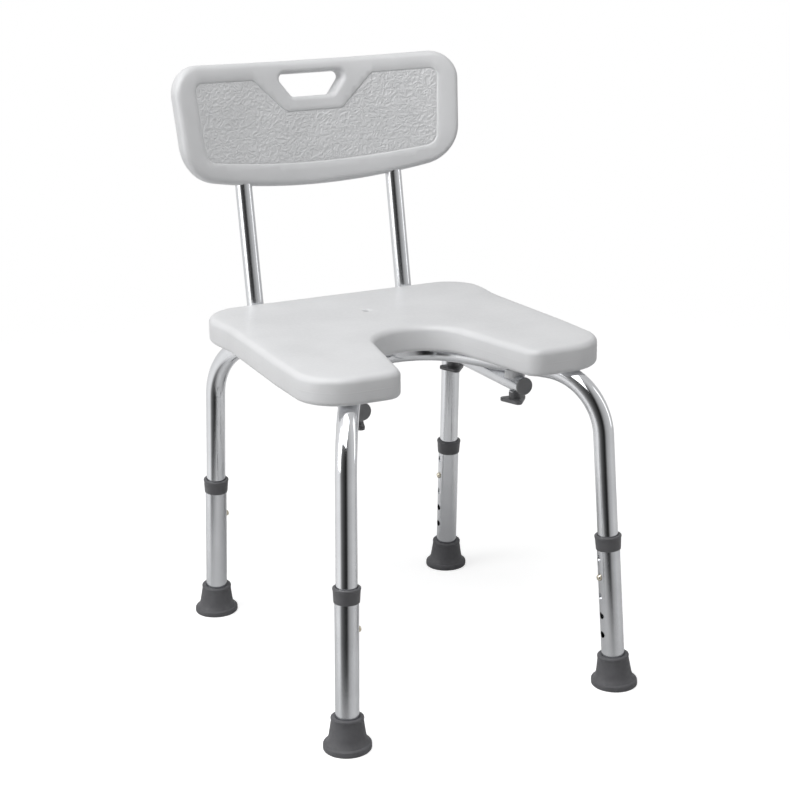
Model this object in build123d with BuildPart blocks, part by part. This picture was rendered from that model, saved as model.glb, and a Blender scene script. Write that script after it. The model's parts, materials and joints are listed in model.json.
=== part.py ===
from build123d import *
from math import acos, asin, atan2, cos, degrees, hypot, radians, sin, tan
import os

# Shower chair with a cut-out seat. Millimetres, +Z up, -Y is the sitter's front, +X the right-hand side
# of someone facing the chair. Heights are measured from the floor. Every piece is built round the middle
# of the four feet, and all are shifted together at the end so that the origin is the middle of the base.

# ---- driving dimensions -------------------------------------------------------------------------------
# feet and legs
FRONT_FOOT_X = 184.7  # half the distance between the front feet
REAR_FOOT_X = 180.0
FOOT_Y = 225.0  # half the distance from the front feet to the rear feet
FRONT_SPLAY_X = 0.040  # how far a leg leans out of upright, per unit of height
FRONT_SPLAY_Y = 0.049
REAR_SPLAY_X = 0.0106
REAR_SPLAY_Y = 0.0796
LEG_TUBE_WALL = 1.5
LEG_TUBE_FROM = 9.0  # distance along the leg from the floor
LEG_TUBE_TO = 197.0
COLLAR_TOP_WALL = 2.4  # the collar tapers: its wall outside the leg tube, at its top and its bottom
COLLAR_BOTTOM_WALL = 1.1
COLLAR_HEIGHT = 18.5
COLLAR_LIP = 2.0  # how far it stands over the end of the leg tube
FOOT_R = 29.0
FOOT_FLANGE = 8.0
FOOT_HEIGHT = 40.0
FERRULE_WALL = 4.5  # the foot's wall outside the leg tube, at its top and just above the flange
FERRULE_BASE_WALL = 6.7

# bows: one bent tube is both front legs, another both rear legs
BOW_R = 12.7
BOW_WALL = 1.5
BOW_DROP = 4.0  # how far the bows' centre lines are below the seat's lower face
BOW_END = 96.0  # where the tube ends inside the lower leg, along the leg
FRONT_BEND_R = 77.0
REAR_BEND_R = 84.0
ARCH_MARGIN = 21.0  # from the cut-out's edge to the centre line of the front bow's arch round it
ARCH_CENTRE_Y = -70.0
BOW_GAP = 6.6  # between the arch and the rear bow's straight run behind it
REAR_CROSS_INSET = 11.0  # how far inside the rails the rear bow's straight run ends
REAR_CROSS_R = 38.0

# height adjustment
BUTTON_AT = 145.3  # along the leg
HOLE_PITCH = 25.4
HOLES_ABOVE = 1
HOLES_BELOW = 3
BUTTON_R = 4.0
BUTTON_PROUD = 3.4
BUTTON_GAP = 0.3
SPRING_WIDTH = 8.0
SPRING_SHEET = 0.8
SPRING_LENGTH = 40.0

# seat
SEAT_TOP = 437.5
SEAT_THICK = 34.5
SEAT_REAR = 199.0
SEAT_FRONT = -186.0
SEAT_REAR_X = 197.0
SEAT_WAIST_X = 192.5
SEAT_FRONT_X = 199.5
SEAT_WAIST_Y = 98.0
SEAT_REAR_CORNER = 44.0
SEAT_FRONT_CORNER = 56.0
SEAT_TOP_EDGE = 9.0
SEAT_BOTTOM_EDGE = 7.0
SEAT_WALL = 3.4
CUTOUT_R = 61.0
CUTOUT_MOUTH_X = 86.0
CUTOUT_MOUTH_CORNER = 16.0
DRAIN_R = 4.5
DRAIN_Y = 96.0
DRAIN_SINK_R = 7.5

# rails: each tube runs forward under the seat and up into the backrest
RAIL_R = 11.1
RAIL_WALL = 1.5
RAIL_X = 110.0
RAIL_OVERHANG = 22.6  # how far a rail's front end is past its front stud
RAIL_BEHIND_SEAT = 13.8  # from the seat's rear edge to the upright's centre line, level with its side
RAIL_BEND_R = 42.0
RAIL_LEAN = 9.8  # degrees that the uprights and the backrest lean back
RAIL_SOCKET = 118.0  # length of upright inside the backrest
PLUG_HEAD = 2.4
PLUG_STEM = 16.0

# backrest
BACK_RISE = 146.0  # from the seat's top to the backrest's lowest edge
BACK_HEIGHT = 165.0  # along the lean
BACK_HALF_TOP = 205.0
BACK_HALF_BOTTOM = 196.0
BACK_BOTTOM_RISE = 20.5
BACK_THICK = 30.0
BACK_CURVE_R = 700.0
BACK_TOP_CORNER = 36.0
BACK_BOTTOM_CORNER = 45.0
BACK_EDGE = 8.0
BACK_WALL = 3.2
PANEL_DEPTH = 1.4
PANEL_MARGIN_X = 28.0
PANEL_MARGIN_BOTTOM = 26.0
PANEL_MARGIN_TOP = 24.0
PANEL_CORNER = 18.0
NOTCH_HALF_TOP = 86.0
NOTCH_HALF_BOTTOM = 40.0
NOTCH_Z = 97.0
HANDLE_HALF_TOP = 46.0
HANDLE_HALF_BOTTOM = 29.5
HANDLE_FROM = 114.0
HANDLE_TO = 150.0
HANDLE_CORNER = 8.0
HANDLE_EDGE = 4.0

# fastenings
STUD_R = 3.0
HOLE_CLEARANCE = 0.3
FIT = 0.1  # radial room between pieces that seat in one another
SLIDE_FIT = 0.1  # radial room of the telescoping legs
SADDLE_R = 12.5
SADDLE_WEB = 1.2
SADDLE_WRAP = 5.0
WASHER_R = 7.0
WASHER_THICK = 1.0
WASHER_GAP = 0.2
KNOB_HUB_R = 7.4
KNOB_HEIGHT = 13.0
KNOB_PLATE = 4.6
KNOB_PLATE_R = 23.0
KNOB_PLATE_CORNER = 5.0
KNOB_TURN = 10.0  # how far a knob's front corner points to the chair's middle, in degrees
STUD_IN_KNOB = 9.0
INSERT_R = 6.0
INSERT_LENGTH = 13.0
SCREW_R = 2.0
SCREW_HEAD_R = 4.2
SCREW_HEAD = 2.2
SCREW_HEIGHTS = (30.0, 88.0)  # above the backrest's lowest edge, along the lean

# ---- values worked out from the driving dimensions ----------------------------------------------------
LEG_TUBE_R = BOW_R + SLIDE_FIT + LEG_TUBE_WALL
SEAT_BOTTOM = SEAT_TOP - SEAT_THICK
BOW_Z = SEAT_BOTTOM - BOW_DROP
ARCH_R = CUTOUT_R + ARCH_MARGIN
REAR_CROSS_X = RAIL_X - REAR_CROSS_INSET
REAR_CROSS_Y = ARCH_CENTRE_Y + ARCH_R + 2 * BOW_R + BOW_GAP
BACK_Z = SEAT_TOP + BACK_RISE
RAIL_BACK_Y = SEAT_REAR + RAIL_BEHIND_SEAT
RAIL_BACK_Z = SEAT_TOP - SEAT_THICK / 4
RAIL_Z = BOW_Z - BOW_R - SADDLE_WEB - RAIL_R
LEAN = radians(RAIL_LEAN)
SIDES = {"left": -1, "right": 1}
ENDS = {"front": -1, "rear": 1}
UPWARDS = (Align.CENTER, Align.CENTER, Align.MIN)
DOWNWARDS = (Align.CENTER, Align.CENTER, Align.MAX)
FOOT_X = {"front": FRONT_FOOT_X, "rear": REAR_FOOT_X}
SPLAY_X = {"front": FRONT_SPLAY_X, "rear": REAR_SPLAY_X}
SPLAY_Y = {"front": FRONT_SPLAY_Y, "rear": REAR_SPLAY_Y}

pieces = []


def finish(piece, name):
    """Labels a finished piece and keeps it for the export at the end."""
    piece.part.label = name
    pieces.append(piece.part)


def leg_plane(end, side):
    """A plane on the floor under a leg: its Z runs up the leg and its X points to the chair's middle."""
    lean = Vector(-SIDES[side] * SPLAY_X[end], -ENDS[end] * SPLAY_Y[end], 1).normalized()
    foot = Vector(SIDES[side] * FOOT_X[end], ENDS[end] * FOOT_Y, 0)
    inward = Vector(-SIDES[side], 0, 0)
    return Plane(origin=foot, x_dir=inward - lean * inward.dot(lean), z_dir=lean)


def leg_point(end, side, height):
    """The point on a leg's axis at a height above the floor."""
    x = SIDES[side] * (FOOT_X[end] - SPLAY_X[end] * height)
    y = ENDS[end] * (FOOT_Y - SPLAY_Y[end] * height)
    return Vector(x, y, height)


def front_arch():
    """Where the front bow's two diagonals would meet, and their direction on the right-hand side."""
    corner = leg_point("front", "right", BOW_Z)
    reach = hypot(corner.X, corner.Y - ARCH_CENTRE_Y)
    turn = atan2(corner.Y - ARCH_CENTRE_Y, corner.X) + acos(ARCH_R / reach)
    touch = Vector(ARCH_R * cos(turn), ARCH_CENTRE_Y + ARCH_R * sin(turn), BOW_Z)
    run = (touch - corner).normalized()
    apex = corner + run * (corner.X / -run.X)
    return apex, run


def crossing(end):
    """Where a bow crosses above the right-hand rail."""
    corner = leg_point(end, "right", BOW_Z)
    if end == "front":
        run = front_arch()[1]
    else:
        run = (Vector(REAR_CROSS_X, REAR_CROSS_Y, BOW_Z) - corner).normalized()
    return corner + run * ((RAIL_X - corner.X) / run.X)


def bow_path(end):
    """The bow's centre line, from the end inside the left leg to the end inside the right leg."""
    feet = [leg_plane(end, side).from_local_coords(Vector(0, 0, BOW_END)) for side in ("left", "right")]
    corners = [leg_point(end, side, BOW_Z) for side in ("left", "right")]
    if end == "front":
        middle, bends = [front_arch()[0]], [FRONT_BEND_R, ARCH_R, FRONT_BEND_R]
    else:
        middle = [Vector(x, REAR_CROSS_Y, BOW_Z) for x in (-REAR_CROSS_X, REAR_CROSS_X)]
        bends = [REAR_BEND_R, REAR_CROSS_R, REAR_CROSS_R, REAR_BEND_R]
    return FilletPolyline(feet[0], corners[0], *middle, corners[1], feet[1], radius=bends)


def rail_path(side):
    """A rail's centre line, from its front end under the seat to its top end in the backrest."""
    x = SIDES[side] * RAIL_X
    corner_y = RAIL_BACK_Y + (RAIL_Z - RAIL_BACK_Z) * tan(LEAN)
    top_z = BACK_Z + RAIL_SOCKET * cos(LEAN)
    top_y = RAIL_BACK_Y + (top_z - RAIL_BACK_Z) * tan(LEAN)
    front_y = crossing("front").Y - RAIL_OVERHANG
    points = (x, front_y, RAIL_Z), (x, corner_y, RAIL_Z), (x, top_y, top_z)
    return FilletPolyline(*points, radius=RAIL_BEND_R)


def tube(path, radius, wall=None):
    """Sweeps a round tube, or a solid bar where no wall is given, along a centre line."""
    with BuildPart() as body:
        with BuildLine():
            add(path)
        with BuildSketch(Plane(origin=path @ 0, z_dir=path % 0)):
            Circle(radius)
            if wall is not None:
                Circle(radius - wall, mode=Mode.SUBTRACT)
        sweep(path=path)
    return body.part


# local X is across, local Y up the lean, local Z forward; the rails' centre lines lie in this plane
back_y = RAIL_BACK_Y + (BACK_Z - RAIL_BACK_Z) * tan(LEAN)
BOARD = Plane(origin=(0, back_y, BACK_Z), x_dir=(1, 0, 0), z_dir=(0, -cos(LEAN), sin(LEAN)))
# the same place seen from above: local X across, local Y forward
BOARD_SIDE = Plane(origin=(0, back_y, BACK_Z), x_dir=(1, 0, 0), z_dir=(0, -sin(LEAN), -cos(LEAN)))
CURVE_BACK = BACK_CURVE_R - (BACK_CURVE_R**2 - RAIL_X**2) ** 0.5


def screw_places(side):
    """Where the backrest's screws meet a rail's centre line, each with its Z square to the curved board."""
    turn = -SIDES[side] * degrees(asin(RAIL_X / BACK_CURVE_R))
    x = SIDES[side] * RAIL_X
    return [BOARD.location * Pos(x, height, 0) * Rot(0, turn, 0) for height in SCREW_HEIGHTS]


BOW_PATHS = {end: bow_path(end) for end in ENDS}
RAIL_PATHS = {side: rail_path(side) for side in SIDES}
STUD_PLACES = {
    (end, side): (SIDES[side] * RAIL_X, crossing(end).Y) for end in ENDS for side in SIDES
}


# ---- seat: one hollow blow moulding -------------------------------------------------------------------
def seat_outline(inset=0.0):
    """The seat's outline, with the cut-out, drawn inset from the edge by a wall thickness."""
    with BuildSketch() as outline:
        with BuildLine():
            side_points = (
                (SEAT_REAR_X, SEAT_REAR),
                (SEAT_REAR_X, SEAT_WAIST_Y + (SEAT_REAR - SEAT_WAIST_Y) * 0.55),
                (SEAT_WAIST_X, SEAT_WAIST_Y),
                (SEAT_FRONT_X, SEAT_FRONT + 2 * SEAT_FRONT_CORNER),
                (SEAT_FRONT_X, SEAT_FRONT),
            )
            right = Polyline(*side_points)
            left = Polyline(*[(-x, y) for x, y in side_points])
            Line(right @ 0, left @ 0)
            Line(right @ 1, left @ 1)
        make_face()
        corners = outline.vertices().sort_by(Axis.Y)
        fillet(corners[:2], SEAT_FRONT_CORNER)
        fillet(outline.vertices().sort_by(Axis.Y)[-2:], SEAT_REAR_CORNER)
        waists = [v for v in outline.vertices() if abs(v.Y - SEAT_WAIST_Y) < 1]
        fillet(waists, 4 * SEAT_FRONT_CORNER)
        with BuildSketch(mode=Mode.SUBTRACT):
            with BuildLine():
                mouth_y = SEAT_FRONT - SEAT_FRONT_CORNER
                slope = (CUTOUT_MOUTH_X - CUTOUT_R) / (ARCH_CENTRE_Y - SEAT_FRONT)
                mouth_x = CUTOUT_MOUTH_X + slope * SEAT_FRONT_CORNER
                sides = Polyline((CUTOUT_R, ARCH_CENTRE_Y), (mouth_x, mouth_y), (-mouth_x, mouth_y),
                                 (-CUTOUT_R, ARCH_CENTRE_Y))
                ThreePointArc(sides @ 0, (0, ARCH_CENTRE_Y + CUTOUT_R), sides @ 1)
            make_face()
        mouth = [v for v in outline.vertices() if abs(v.Y - SEAT_FRONT) < 1 and abs(v.X) < mouth_x]
        fillet(mouth, CUTOUT_MOUTH_CORNER)
        if inset:
            offset(amount=-inset, kind=Kind.INTERSECTION, mode=Mode.REPLACE)
    return outline.sketch


with BuildPart() as seat_cavity:
    with BuildSketch(Plane.XY.offset(SEAT_BOTTOM + SEAT_WALL)):
        add(seat_outline(SEAT_WALL + 0.6))
    extrude(amount=SEAT_THICK - 2 * SEAT_WALL)
    for path in BOW_PATHS.values():
        add(tube(path, BOW_R + HOLE_CLEARANCE + SEAT_WALL), mode=Mode.SUBTRACT)
    for path in RAIL_PATHS.values():
        add(tube(path, RAIL_R + 1.0 + SEAT_WALL), mode=Mode.SUBTRACT)
    with Locations(*[(x, y, SEAT_BOTTOM + SEAT_THICK / 2) for x, y in STUD_PLACES.values()]):
        Cylinder(INSERT_R + SEAT_WALL, SEAT_THICK, mode=Mode.SUBTRACT)
    with Locations((0, DRAIN_Y, SEAT_BOTTOM + SEAT_THICK / 2)):
        Cylinder(DRAIN_SINK_R + SEAT_WALL, SEAT_THICK, mode=Mode.SUBTRACT)

with BuildPart() as seat:
    with BuildSketch(Plane.XY.offset(SEAT_BOTTOM)):
        add(seat_outline())
    extrude(amount=SEAT_THICK)
    fillet(seat.faces().sort_by(Axis.Z)[-1].edges(), SEAT_TOP_EDGE)
    fillet(seat.faces().sort_by(Axis.Z)[0].edges(), SEAT_BOTTOM_EDGE)
    # channels that the bows lie in, and room for the rails' bends behind the seat
    for path in BOW_PATHS.values():
        add(tube(path, BOW_R + HOLE_CLEARANCE), mode=Mode.SUBTRACT)
    for path in RAIL_PATHS.values():
        add(tube(path, RAIL_R + 1.0), mode=Mode.SUBTRACT)
    # pockets for the threaded inserts, above the bows
    insert_from = BOW_Z + BOW_R + HOLE_CLEARANCE
    with Locations(*[(x, y, BOW_Z) for x, y in STUD_PLACES.values()]):
        Cylinder(INSERT_R + FIT, insert_from - BOW_Z + INSERT_LENGTH, align=UPWARDS, mode=Mode.SUBTRACT)
    # drain hole with a countersunk mouth
    with Locations((0, DRAIN_Y, SEAT_TOP)):
        CounterSinkHole(DRAIN_R, DRAIN_SINK_R, SEAT_THICK, 82)
    add(seat_cavity.part, mode=Mode.SUBTRACT)
finish(seat, "seat")

with BuildPart() as seat_inserts:
    with Locations(*[(x, y, insert_from + FIT) for x, y in STUD_PLACES.values()]):
        Cylinder(INSERT_R, INSERT_LENGTH - 2 * FIT, align=UPWARDS)
    with Locations(*[(x, y, insert_from) for x, y in STUD_PLACES.values()]):
        Cylinder(STUD_R + FIT, INSERT_LENGTH - 1.5, align=UPWARDS, mode=Mode.SUBTRACT)
finish(seat_inserts, "seat_inserts")

# ---- bows: bent aluminium tubes, each is two upper legs and the support between them --------------------
for end in ENDS:
    with BuildPart() as bow:
        add(tube(BOW_PATHS[end], BOW_R, BOW_WALL))
        for side in SIDES:
            with Locations((SIDES[side] * RAIL_X, crossing(end).Y, BOW_Z)):
                Cylinder(STUD_R + HOLE_CLEARANCE, 3 * BOW_R, mode=Mode.SUBTRACT)
            plane = leg_plane(end, side)
            hole = Plane(origin=plane.from_local_coords(Vector(0, 0, BUTTON_AT)), z_dir=plane.x_dir)
            with BuildSketch(hole):
                Circle(BUTTON_R + BUTTON_GAP)
            extrude(amount=2 * BOW_R, mode=Mode.SUBTRACT)
    finish(bow, f"{end}_bow")

# ---- rails: bent tubes that carry the backrest, with plugs in their front ends --------------------------
for side in SIDES:
    with BuildPart() as rail:
        add(tube(RAIL_PATHS[side], RAIL_R, RAIL_WALL))
        with Locations(*[(x, y, RAIL_Z) for (_, s), (x, y) in STUD_PLACES.items() if s == side]):
            Cylinder(STUD_R + HOLE_CLEARANCE, 3 * RAIL_R, mode=Mode.SUBTRACT)
        with Locations(*screw_places(side)):
            Cylinder(SCREW_R + FIT, RAIL_R, align=DOWNWARDS, mode=Mode.SUBTRACT)
    finish(rail, f"rail_{side}")

    plug_plane = Plane(origin=RAIL_PATHS[side] @ 0, z_dir=(0, -1, 0))
    with BuildPart() as plug:
        with BuildSketch(plug_plane):
            Circle(RAIL_R)
        extrude(amount=PLUG_HEAD)
        fillet(plug.edges().sort_by(Axis.Y)[0], PLUG_HEAD * 0.5)
        with BuildSketch(plug_plane):
            Circle(RAIL_R - RAIL_WALL - FIT)
        extrude(amount=-PLUG_STEM)
    finish(plug, f"rail_plug_{side}")

# ---- backrest: a hollow blow moulding, curved round the sitter's back ------------------------------------
def board_outline(inset=0.0):
    """The backrest's outline: a straight top, sides that narrow downwards and a bowed lower edge."""
    with BuildSketch() as outline:
        with BuildLine():
            upper = Polyline((BACK_HALF_BOTTOM, BACK_BOTTOM_RISE), (BACK_HALF_TOP, BACK_HEIGHT),
                             (-BACK_HALF_TOP, BACK_HEIGHT), (-BACK_HALF_BOTTOM, BACK_BOTTOM_RISE))
            ThreePointArc(upper @ 1, (0, 0), upper @ 0)
        make_face()
        fillet(outline.vertices().sort_by(Axis.Y)[-2:], BACK_TOP_CORNER)
        fillet(outline.vertices().sort_by(Axis.Y)[:2], BACK_BOTTOM_CORNER)
        if inset:
            offset(amount=-inset, mode=Mode.REPLACE)
    return outline.sketch


def handle_outline(grow=0.0):
    """The hand hole: wider at its top than at its bottom."""
    with BuildSketch() as outline:
        with BuildLine():
            Polyline((-HANDLE_HALF_BOTTOM, HANDLE_FROM), (HANDLE_HALF_BOTTOM, HANDLE_FROM),
                     (HANDLE_HALF_TOP, HANDLE_TO), (-HANDLE_HALF_TOP, HANDLE_TO), close=True)
        make_face()
        fillet(outline.vertices(), HANDLE_CORNER)
        if grow:
            offset(amount=grow, mode=Mode.REPLACE)
    return outline.sketch


def panel_outline():
    """The textured panel: follows the outline at a margin and dips under the hand hole."""
    top = BACK_HEIGHT - PANEL_MARGIN_TOP
    half_top = BACK_HALF_TOP - PANEL_MARGIN_X
    half_bottom = BACK_HALF_BOTTOM - PANEL_MARGIN_X
    low = PANEL_MARGIN_BOTTOM + BACK_BOTTOM_RISE / 2
    with BuildSketch() as outline:
        with BuildLine():
            right = [(half_bottom, low), (half_top, top), (NOTCH_HALF_TOP, top), (NOTCH_HALF_BOTTOM, NOTCH_Z)]
            upper = Polyline(*right, *[(-x, y) for x, y in reversed(right)])
            ThreePointArc(upper @ 1, (0, PANEL_MARGIN_BOTTOM), upper @ 0)
        make_face()
        fillet(outline.vertices().sort_by(Axis.Y)[:2], PANEL_CORNER)
        fillet([v for v in outline.vertices() if abs(v.Y - NOTCH_Z) < 1], PANEL_CORNER / 2)
        fillet([v for v in outline.vertices() if abs(abs(v.X) - NOTCH_HALF_TOP) < 1], PANEL_CORNER / 2)
        fillet([v for v in outline.vertices() if abs(abs(v.X) - half_top) < 1], PANEL_CORNER * 0.7)
    return outline.sketch


def curved_slab(thick, low, high):
    """A slab bent about an upright axis in front of the backrest, thick mm through and centred on it."""
    with BuildPart() as slab:
        with BuildSketch(BOARD_SIDE.offset(-high)):
            # in this sketch local Y points forward
            with Locations((0, BACK_CURVE_R - CURVE_BACK)):
                Circle(BACK_CURVE_R + thick / 2)
                Circle(BACK_CURVE_R - thick / 2, mode=Mode.SUBTRACT)
            with Locations((0, 0)):
                Rectangle(3 * BACK_HALF_TOP, 4 * BACK_THICK, mode=Mode.INTERSECT)
        extrude(amount=high - low)
    return slab.part


def board_block(sketch, reach=3 * BACK_THICK):
    """A sketch drawn flat, set on the backrest's plane and extruded both ways."""
    with BuildPart() as block:
        with BuildSketch(BOARD):
            add(sketch)
        extrude(amount=reach, both=True)
    return block.part


def socket_plane(side):
    """A plane across a rail's centre line, just below the backrest, with its Z up the rail."""
    below = BOARD_SIDE.from_local_coords(Vector(SIDES[side] * RAIL_X, 0, BACK_THICK))
    return Plane(origin=below, z_dir=-BOARD_SIDE.z_dir)


with BuildPart() as back_cavity:
    add(board_block(board_outline(BACK_WALL + 1.2)))
    add(curved_slab(BACK_THICK - 2 * BACK_WALL - PANEL_DEPTH, 0, BACK_HEIGHT), mode=Mode.INTERSECT)
    for side in SIDES:
        with BuildSketch(socket_plane(side)):
            Circle(RAIL_R + FIT + BACK_WALL)
        extrude(amount=BACK_THICK + RAIL_SOCKET + BACK_WALL, mode=Mode.SUBTRACT)
    add(board_block(handle_outline(BACK_WALL + HANDLE_EDGE / 2)), mode=Mode.SUBTRACT)

# what is taken off the front face inside the panel's border
with BuildPart() as panel_recess:
    with BuildSketch(BOARD):
        add(panel_outline())
    extrude(amount=3 * BACK_THICK)
    add(curved_slab(BACK_THICK - 2 * PANEL_DEPTH, 0, BACK_HEIGHT), mode=Mode.SUBTRACT)

with BuildPart() as backrest:
    add(board_block(board_outline()))
    add(curved_slab(BACK_THICK, -BACK_THICK, BACK_HEIGHT + BACK_THICK), mode=Mode.INTERSECT)
    broad_faces = backrest.faces().sort_by(SortBy.AREA)[-2:]
    fillet([edge for face in broad_faces for edge in face.edges()], BACK_EDGE)
    add(panel_recess.part, mode=Mode.SUBTRACT)
    add(board_block(handle_outline()), mode=Mode.SUBTRACT)
    rims = [
        edge
        for edge in backrest.edges()
        if HANDLE_FROM - 1 < BOARD.to_local_coords(edge @ 0.5).Y < HANDLE_TO + 1
        and abs(BOARD.to_local_coords(edge @ 0.5).X) < HANDLE_HALF_TOP + 1
        and abs(BOARD.to_local_coords(edge @ 0).Z - BOARD.to_local_coords(edge @ 1).Z) < BACK_THICK / 2
    ]
    fillet(rims, HANDLE_EDGE)
    for side in SIDES:
        with BuildSketch(socket_plane(side)):
            Circle(RAIL_R + FIT)
        extrude(amount=BACK_THICK + RAIL_SOCKET + FIT, mode=Mode.SUBTRACT)
    with Locations(*screw_places("left"), *screw_places("right")):
        Cylinder(SCREW_R + FIT, BACK_THICK, align=DOWNWARDS, mode=Mode.SUBTRACT)
    add(back_cavity.part, mode=Mode.SUBTRACT)
finish(backrest, "backrest")

# pan-head screws through the back of the backrest into its rails
with BuildPart() as back_screws:
    with Locations(*screw_places("left"), *screw_places("right")):
        with Locations((0, 0, -BACK_THICK / 2 - FIT)):
            Cylinder(SCREW_HEAD_R, SCREW_HEAD, align=DOWNWARDS)
            Cylinder(SCREW_R, BACK_THICK / 2 - RAIL_R + RAIL_WALL + 1.0, align=UPWARDS)
finish(back_screws, "back_screws")

# ---- lower legs: telescoping tube, collar and rubber foot -----------------------------------------------
for end in ENDS:
    for side in SIDES:
        plane = leg_plane(end, side)
        with BuildPart() as leg_tube:
            with BuildSketch(plane.offset(LEG_TUBE_FROM)):
                Circle(LEG_TUBE_R)
                Circle(LEG_TUBE_R - LEG_TUBE_WALL, mode=Mode.SUBTRACT)
            extrude(amount=LEG_TUBE_TO - LEG_TUBE_FROM)
            for step in range(-HOLES_BELOW, HOLES_ABOVE + 1):
                middle = plane.from_local_coords(Vector(0, 0, BUTTON_AT + step * HOLE_PITCH))
                with BuildSketch(Plane(origin=middle, z_dir=plane.x_dir)):
                    Circle(BUTTON_R + BUTTON_GAP)
                extrude(amount=2 * LEG_TUBE_R, mode=Mode.SUBTRACT)
        finish(leg_tube, f"leg_tube_{end}_{side}")

        with BuildPart() as collar:
            with BuildSketch(plane.offset(LEG_TUBE_TO + COLLAR_LIP - COLLAR_HEIGHT)):
                Circle(LEG_TUBE_R + COLLAR_BOTTOM_WALL)
            with BuildSketch(plane.offset(LEG_TUBE_TO + COLLAR_LIP)):
                Circle(LEG_TUBE_R + COLLAR_TOP_WALL)
            loft()
            fillet(collar.edges().sort_by(Axis.Z)[-1], 1.2)
            with BuildSketch(plane.offset(LEG_TUBE_TO + COLLAR_LIP)):
                Circle(BOW_R + HOLE_CLEARANCE)
            extrude(amount=-COLLAR_HEIGHT, mode=Mode.SUBTRACT)
            with BuildSketch(plane.offset(LEG_TUBE_TO)):
                Circle(LEG_TUBE_R)
            extrude(amount=-COLLAR_HEIGHT, mode=Mode.SUBTRACT)
        finish(collar, f"collar_{end}_{side}")

        foot_middle = plane.origin
        base_r = LEG_TUBE_R + FERRULE_BASE_WALL
        with BuildPart() as foot:
            # the flange stands level on the floor, the ferrule leans with the leg
            with BuildSketch(Plane(origin=foot_middle, x_dir=(1, 0, 0), z_dir=(0, -1, 0))):
                with BuildLine():
                    rim = Polyline((0, 0), (FOOT_R - 0.8, 0), (FOOT_R, 1.2), (FOOT_R, FOOT_FLANGE - 1.5),
                                   (FOOT_R - 2.2, FOOT_FLANGE + 2.0))
                    flare_top = (base_r, FOOT_FLANGE + 10.0)
                    ThreePointArc(rim @ 1, (base_r + 2.2, FOOT_FLANGE + 4.6), flare_top)
                    Polyline(flare_top, (0, FOOT_FLANGE + 10.0), (0, 0))
                make_face()
            revolve(axis=Axis(foot_middle, (0, 0, 1)))
            with BuildSketch(plane.offset(FOOT_FLANGE)):
                Circle(base_r + 0.3)
            with BuildSketch(plane.offset(FOOT_HEIGHT)):
                Circle(LEG_TUBE_R + FERRULE_WALL)
            loft()
            top = foot.faces().sort_by(Axis.Z)[-1]
            fillet(top.edges(), 1.5)
            with BuildSketch(plane.offset(LEG_TUBE_FROM)):
                Circle(LEG_TUBE_R)
            extrude(amount=FOOT_HEIGHT, mode=Mode.SUBTRACT)
        finish(foot, f"foot_{end}_{side}")

# ---- height adjustment: a leaf spring in each upper leg, with a button riveted to its free arm -----------
for end in ENDS:
    for side in SIDES:
        plane = leg_plane(end, side)
        inner = BOW_R - BOW_WALL
        reach = (inner**2 - (SPRING_WIDTH / 2) ** 2) ** 0.5 - 2 * FIT
        middle = plane.from_local_coords(Vector(0, 0, BUTTON_AT))
        # in this plane X points out towards the button and Y up the leg
        upright = Plane(origin=middle, x_dir=plane.x_dir, z_dir=-plane.y_dir)
        top = SPRING_WIDTH / 2 + 1.5
        bend_y = -SPRING_LENGTH
        with BuildPart() as button:
            with BuildSketch(upright):
                with Locations((reach - SPRING_SHEET / 2, (top - SPRING_WIDTH) / 2)):
                    Rectangle(SPRING_SHEET, top + SPRING_WIDTH)
            extrude(amount=SPRING_WIDTH / 2, both=True)
            with BuildSketch(Plane(origin=middle + plane.x_dir * reach, z_dir=plane.x_dir)):
                Circle(BUTTON_R)
            extrude(amount=LEG_TUBE_R + BUTTON_PROUD - reach)
            rounds = button.edges().filter_by(GeomType.CIRCLE)
            fillet(rounds.sort_by(lambda edge: edge.center().dot(plane.x_dir))[-1], BUTTON_R * 0.6)
        finish(button, f"snap_button_{end}_{side}")

        with BuildPart() as spring:
            with BuildSketch(upright):
                with BuildLine() as strip:
                    free_end = (reach - SPRING_SHEET / 2, -SPRING_WIDTH - 1.2)
                    free_arm = Line(free_end, (reach - 3.0, bend_y + 6.0))
                    turn = ThreePointArc(free_arm @ 1, (0, bend_y), (3.0 - reach, bend_y + 6.0))
                    Line(turn @ 1, (SPRING_SHEET - reach, top))
                trace(line_width=SPRING_SHEET)
            extrude(amount=SPRING_WIDTH / 2, both=True)
        finish(spring, f"leaf_spring_{end}_{side}")

# ---- fastenings under the seat ---------------------------------------------------------------------------
KNOB_TOP = RAIL_Z - RAIL_R - WASHER_THICK - 2 * WASHER_GAP
STUD_TOP = BOW_Z + BOW_R + HOLE_CLEARANCE + INSERT_LENGTH - 3.0

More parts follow.
